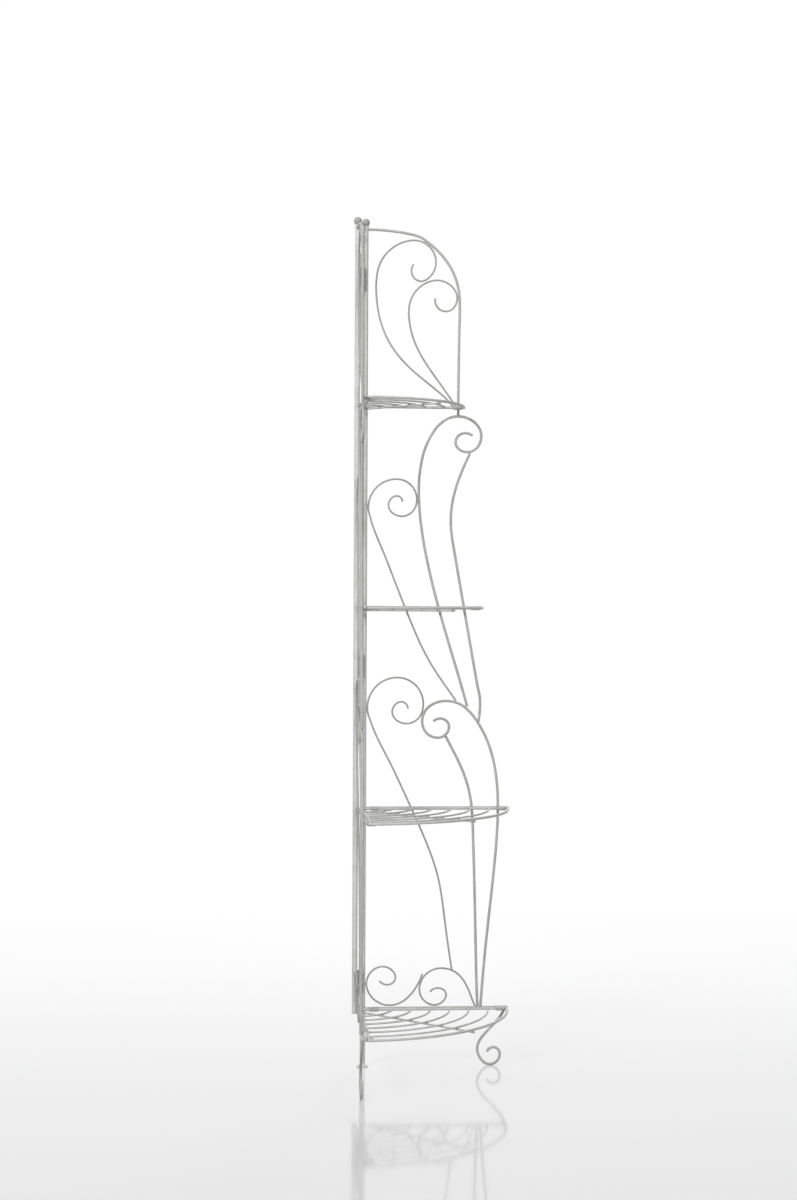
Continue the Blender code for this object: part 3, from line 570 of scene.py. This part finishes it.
def weld_at(first, first_r, k, second, second_r, j):
    """One weld as (place, along, across, half sizes), for the nearest points of two lines."""
    for line, radius, i in ((first, first_r, k), (second, second_r, j)):
        if i < WELD_AT_END:
            outward = Vector(line[0] - line[WELD_AT_END]).normalized()
            tip = Vector(line[0])
        elif i > len(line) - 1 - WELD_AT_END:
            outward = Vector(line[-1] - line[-1 - WELD_AT_END]).normalized()
            tip = Vector(line[-1])
        else:
            continue
        collar = (COLLAR_HALF_WIDTH, radius + COLLAR_RISE, radius + COLLAR_RISE)
        return tip, outward, outward.orthogonal(), collar
    along = Vector(first[k + 1] - first[k - 1]).normalized()
    between = Vector(second[j] - first[k])
    groove = Vector(first[k]) + between * first_r / (first_r + second_r)
    bead = (BEAD_HALF_LENGTH, BEAD_HALF_RISE, BEAD_FILL * min(first_r, second_r))
    return groove, along, between.normalized(), bead


def round_work_tree():
    """Geometry nodes that sweep a round along each line and set a weld bead on each loose point."""
    tree = bpy.data.node_groups.new("welded_round_work", "GeometryNodeTree")
    sockets = (
        ("Lines", "NodeSocketGeometry"), ("Radius", "NodeSocketFloat"), ("Sides", "NodeSocketInt"),
        ("Bead Seed", "NodeSocketInt"), ("Paint", "NodeSocketMaterial"),
    )
    for name, kind in sockets:
        tree.interface.new_socket(name, in_out="INPUT", socket_type=kind)
    tree.interface.new_socket("Work", in_out="OUTPUT", socket_type="NodeSocketGeometry")

    def node(kind, values=(), links=(), **settings):
        made = tree.nodes.new(kind)
        for name, value in settings.items():
            setattr(made, name, value)
        for name, value in dict(values).items():
            made.inputs[name].default_value = value
        for name, source in dict(links).items():
            tree.links.new(source, made.inputs[name])
        return made

    def stored(name, kind):
        return node("GeometryNodeInputNamedAttribute", {"Name": name}, data_type=kind).outputs[0]

    given = node("NodeGroupInput").outputs
    parted = node(
        "GeometryNodeSeparateGeometry",
        links={"Geometry": given["Lines"], "Selection": stored("bead", "BOOLEAN")},
    )
    lines = node("GeometryNodeMeshToCurve", links={"Mesh": parted.outputs["Inverted"]}).outputs[0]
    circle = node(
        "GeometryNodeCurvePrimitiveCircle", links={"Resolution": given["Sides"], "Radius": given["Radius"]}
    )
    swept = node(
        "GeometryNodeCurveToMesh", {"Fill Caps": True},
        {"Curve": lines, "Profile Curve": circle.outputs[0], "Scale": stored("share", "FLOAT")},
    ).outputs[0]
    bead = node("GeometryNodeMeshIcoSphere", {"Radius": 1.0, "Subdivisions": 2}).outputs[0]
    turn = node(
        "FunctionNodeAxesToRotation", primary_axis="X", secondary_axis="Y",
        links={
            "Primary Axis": stored("along", "FLOAT_VECTOR"),
            "Secondary Axis": stored("across", "FLOAT_VECTOR"),
        },
    ).outputs[0]
    vary = node("FunctionNodeRandomValue", links={"Seed": given["Bead Seed"]}, data_type="FLOAT_VECTOR")
    vary.inputs[0].default_value = BEAD_LEAST
    vary.inputs[1].default_value = BEAD_MOST
    size = node("ShaderNodeVectorMath", operation="MULTIPLY")
    tree.links.new(stored("size", "FLOAT_VECTOR"), size.inputs[0])
    tree.links.new(vary.outputs[0], size.inputs[1])
    beads = node(
        "GeometryNodeInstanceOnPoints",
        links={
            "Points": parted.outputs["Selection"],
            "Instance": bead,
            "Rotation": turn,
            "Scale": size.outputs[0],
        },
    ).outputs[0]
    joined = node("GeometryNodeJoinGeometry")
    for part in (beads, swept):
        tree.links.new(part, joined.inputs[0])
    real = node("GeometryNodeRealizeInstances", links={"Geometry": joined.outputs[0]}).outputs[0]
    painted = node("GeometryNodeSetMaterial", links={"Geometry": real, "Material": given["Paint"]})
    output = node("NodeGroupOutput")
    tree.links.new(painted.outputs[0], output.inputs[0])
    return tree


work_tree = round_work_tree()


def round_work(name, lines, welds, radius, seed, paint, slot, body, *replaced):
    """Makes one piece of welded round work, its lines swept with eased ends and its beads, as one mesh."""
    verts, edges, shares = [], [], []
    eased = [share for _, share in END_EASE]
    for line in lines:
        first, last = line[0], line[-1]
        ahead = (line[1] - first) / np.linalg.norm(line[1] - first)
        behind = (line[-2] - last) / np.linalg.norm(line[-2] - last)
        points = [first + ahead * step * radius for step, _ in END_EASE]
        points += list(line[1:-1])
        points += [last + behind * step * radius for step, _ in reversed(END_EASE)]
        edges += [(len(verts) + i, len(verts) + i + 1) for i in range(len(points) - 1)]
        verts += points
        shares += eased + [1.0] * (len(line) - 2) + eased[::-1]
    count = len(verts)
    skeleton = bpy.data.meshes.new(name + "_lines")
    skeleton.from_pydata(verts + [weld[0] for weld in welds], edges, [])
    blank = [(0, 0, 0)] * count
    for attribute, kind, key, values in (
        ("share", "FLOAT", "value", shares + [0.0] * len(welds)),
        ("bead", "BOOLEAN", "value", [False] * count + [True] * len(welds)),
        ("along", "FLOAT_VECTOR", "vector", blank + [tuple(weld[1]) for weld in welds]),
        ("across", "FLOAT_VECTOR", "vector", blank + [tuple(weld[2]) for weld in welds]),
        ("size", "FLOAT_VECTOR", "vector", blank + [tuple(weld[3]) for weld in welds]),
    ):
        layer = skeleton.attributes.new(attribute, kind, "POINT")
        layer.data.foreach_set(key, np.array(values).ravel())
    drawn = bpy.data.objects.new(name + "_lines", skeleton)
    bpy.context.scene.collection.objects.link(drawn)
    nodes_step = drawn.modifiers.new("welded_round_work", "NODES")
    nodes_step.node_group = work_tree
    sockets = work_tree.interface.items_tree
    inputs = {item.name: item.identifier for item in sockets if item.in_out == "INPUT"}
    nodes_step[inputs["Radius"]] = radius
    nodes_step[inputs["Sides"]] = ROUND_SIDES
    nodes_step[inputs["Bead Seed"]] = seed
    nodes_step[inputs["Paint"]] = paint
    bpy.context.view_layer.update()
    graph = bpy.context.evaluated_depsgraph_get()
    mesh = bpy.data.meshes.new_from_object(drawn.evaluated_get(graph))
    mesh.name = name
    for attribute in ("share", "bead", "along", "across", "size"):
        if attribute in mesh.attributes:
            mesh.attributes.remove(mesh.attributes[attribute])
    bpy.data.objects.remove(drawn)
    fitted(name, mesh, paint, slot, body, *replaced)


rod_paint = iron_paint("rod_paint", (0.40, 0.40, 0.395), 0.40, 9.1)
wire_paint = iron_paint("wire_paint", (0.34, 0.34, 0.335), 0.40, 13.9)
frame_lines = {}
for side in ("right", "left"):
    rods = [even_line(bent_line(f"{side}_{name}", ROD_R)) for name in RODS]
    wires = [even_line(bent_line(f"{side}_{name}", WIRE_R)) for name in WIRES]
    foot_line = rods[RODS.index("scroll_foot")]
    foot_line[:, 2] = np.maximum(foot_line[:, 2], ROD_R)
    post = even_line([np.array(end) for end in posts[side]])
    lines = [(post, tube_r)] + [(line, ROD_R) for line in rods] + [(line, WIRE_R) for line in wires]
    frame_lines[side] = lines
    welds = welds_between(lines)
    body = side + "_frame"
    names = [f"{side}_{name}" for name in RODS]
    round_work(
        side + "_scroll_rods", rods, welds, ROD_R, SCROLL_BEAD_SEED, rod_paint, "rod_paint", body, *names
    )
    names = [f"{side}_{name}" for name in WIRES]
    round_work(
        side + "_scroll_wires", wires, [], WIRE_R, SCROLL_BEAD_SEED, wire_paint, "wire_paint", body, *names
    )

# Rails: four straight rods are welded across the back of each frame, one at each shelf. On each right rail
# sit two strips of sheet, rolled round the shelf's back bar as its pivots, and on each left one a bent rest.
RAIL_ABOVE_SHELF = 0.0011
STRAP_THICKNESS = 0.001
STRAP_WIDTH = 0.016
EYE_PLAY = 0.0003
STRAP_PAST_RAIL = 0.002
STRAP_FROM_CORNER = 0.0365
STRAP_FROM_FRONT = 0.0015
REST_THICKNESS = 0.0015
REST_WIDTH = 0.028
REST_FROM_FRONT = 0.022
REST_LIP = 0.007
REST_LAP = 0.0008
REST_PLAY = 0.0003
REST_PAST_RAIL = 0.0012
REST_BEND = 0.0018
REST_BEND_IN = 0.0006
RAIL_BEAD_SEED = 7

corner = Vector((posts["left"][0].x, posts["right"][0].y, 0))
shelves = {}
for number in (1, 2, 3, 4):
    front = even_line(bent_line(f"shelf_{number}_front_bar", ROD_R))
    level = front[:, 2].mean()
    radius = np.linalg.norm(front[:, :2] - np.array(corner)[:2], axis=1).mean()
    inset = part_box(f"shelf_{number}_grid")[0].x - corner.x + ROD_R
    shelves[number] = (level, radius, inset, front)

for side in ("right", "left"):
    rails, sheets = [], bmesh.new()
    for number, (level, radius, inset, _) in shelves.items():
        low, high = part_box(f"{side}_rail_{number}")
        height = level + RAIL_ABOVE_SHELF
        if side == "right":
            out = high.y - ROD_R
            rails.append(even_line([(low.x, out, height), (high.x, out, height)]))
            middle = ROD_R + EYE_PLAY + STRAP_THICKNESS / 2
            tail_line, turn_line = rolled_line(middle, inset + out + STRAP_PAST_RAIL)
            bar_y = corner.y - inset
            front_x = corner.x + sqrt(radius**2 - inset**2)
            last_x = front_x - ROD_R - STRAP_FROM_FRONT - STRAP_WIDTH / 2
            for x in (corner.x + STRAP_FROM_CORNER, last_x):
                start = x - STRAP_WIDTH / 2
                end = x + STRAP_WIDTH / 2
                add_sheet(
                    sheets, tail_line + turn_line, STRAP_THICKNESS, start, end,
                    lambda a, b, c: (c, bar_y - a, level + b),
                )
        else:
            out = low.x + ROD_R
            rails.append(even_line([(out, high.y, height), (out, low.y, height)]))
            leg = out + ROD_R - REST_LAP + REST_THICKNESS / 2
            under = level - ROD_R - REST_PLAY - REST_THICKNESS / 2
            rest = [
                (leg, height + REST_PAST_RAIL), (leg, under + REST_BEND),
                (leg + REST_BEND_IN, under + REST_BEND_IN), (leg + REST_BEND, under),
                (corner.x + inset + ROD_R + REST_LIP, under),
            ]
            y = corner.y - radius + REST_FROM_FRONT
            start = y - REST_WIDTH / 2
            end = y + REST_WIDTH / 2
            add_sheet(sheets, rest, REST_THICKNESS, start, end, lambda a, b, c: (a, c, b))
    welds = []
    for rail in rails:
        for line in frame_lines[side]:
            welds += welds_between([(rail, ROD_R), line])
    welds += leaf_welds[side]
    body = side + "_frame"
    names = [f"{side}_rail_{number}" for number in shelves]
    round_work(
        side + "_rails", rails, welds, ROD_R, RAIL_BEAD_SEED, rod_paint, "rod_paint", body, *names
    )
    sheet_piece = "pivot_straps" if side == "right" else "shelf_rests"
    fitted(sheet_piece, with_broken_edges(sheets), rod_paint, "rod_paint", body, *names)

# Shelves: each is a quarter round of rod, with its back and side bar bent in one piece and a round front bar,
# and has thinner wires between them and a diagonal brace below. It tips up about its back bar in the straps.
WIRE_PITCH = 0.036
SMALLEST_WIRE = 0.055
BEND_RADIUS = 0.008
CORNER_STEPS = 12
WIRE_RISE = 0.00025

shelf_paint = iron_paint("shelf_paint", (0.48, 0.48, 0.475), 0.40, 21.3)
for number, (level, radius, inset, front) in shelves.items():

    def on_shelf(along_back, from_back, height):
        return np.array([corner.x + along_back, corner.y - from_back, height])

    bend = inset + BEND_RADIUS
    reach = sqrt((radius - ROD_R) ** 2 - (inset + ROD_R) ** 2)
    round_corner = []
    for i in range(CORNER_STEPS + 1):
        a = pi / 2 * i / CORNER_STEPS
        round_corner.append(on_shelf(bend - BEND_RADIUS * sin(a), bend - BEND_RADIUS * cos(a), level))
    back = even_line([on_shelf(reach, inset, level), round_corner[0]])
    side_bar = even_line([round_corner[-1], on_shelf(inset, reach, level)])
    bars = [np.vstack([back[:-1], round_corner, side_bar[1:]]), front]
    height = level - ROD_R + WIRE_R + WIRE_RISE
    wires = []
    for i in range(int((radius - SMALLEST_WIRE) / WIRE_PITCH)):
        wire_radius = radius - WIRE_PITCH * (i + 1)
        end = asin(inset / wire_radius)
        steps = ceil((pi / 2 - 2 * end) * wire_radius / BEND_STEP)
        turns = [end + (pi / 2 - 2 * end) * k / steps for k in range(steps + 1)]
        wire = [on_shelf(wire_radius * cos(a), wire_radius * sin(a), height) for a in turns]
        wires.append(np.array(wire))
    brace = even_line(bent_line(f"shelf_{number}_brace", WIRE_R))
    lines = [(line, ROD_R) for line in bars] + [(line, WIRE_R) for line in wires + [brace]]
    welds = welds_between(lines)
    body = f"shelf_{number}"
    names = (body + "_grid", body + "_front_bar")
    round_work(body + "_bars", bars, welds, ROD_R, number, shelf_paint, "shelf_paint", body, *names)
    wires.append(brace)
    names = (body + "_grid", body + "_brace")
    round_work(body + "_wires", wires, [], WIRE_R, number, shelf_paint, "shelf_paint", body, *names)
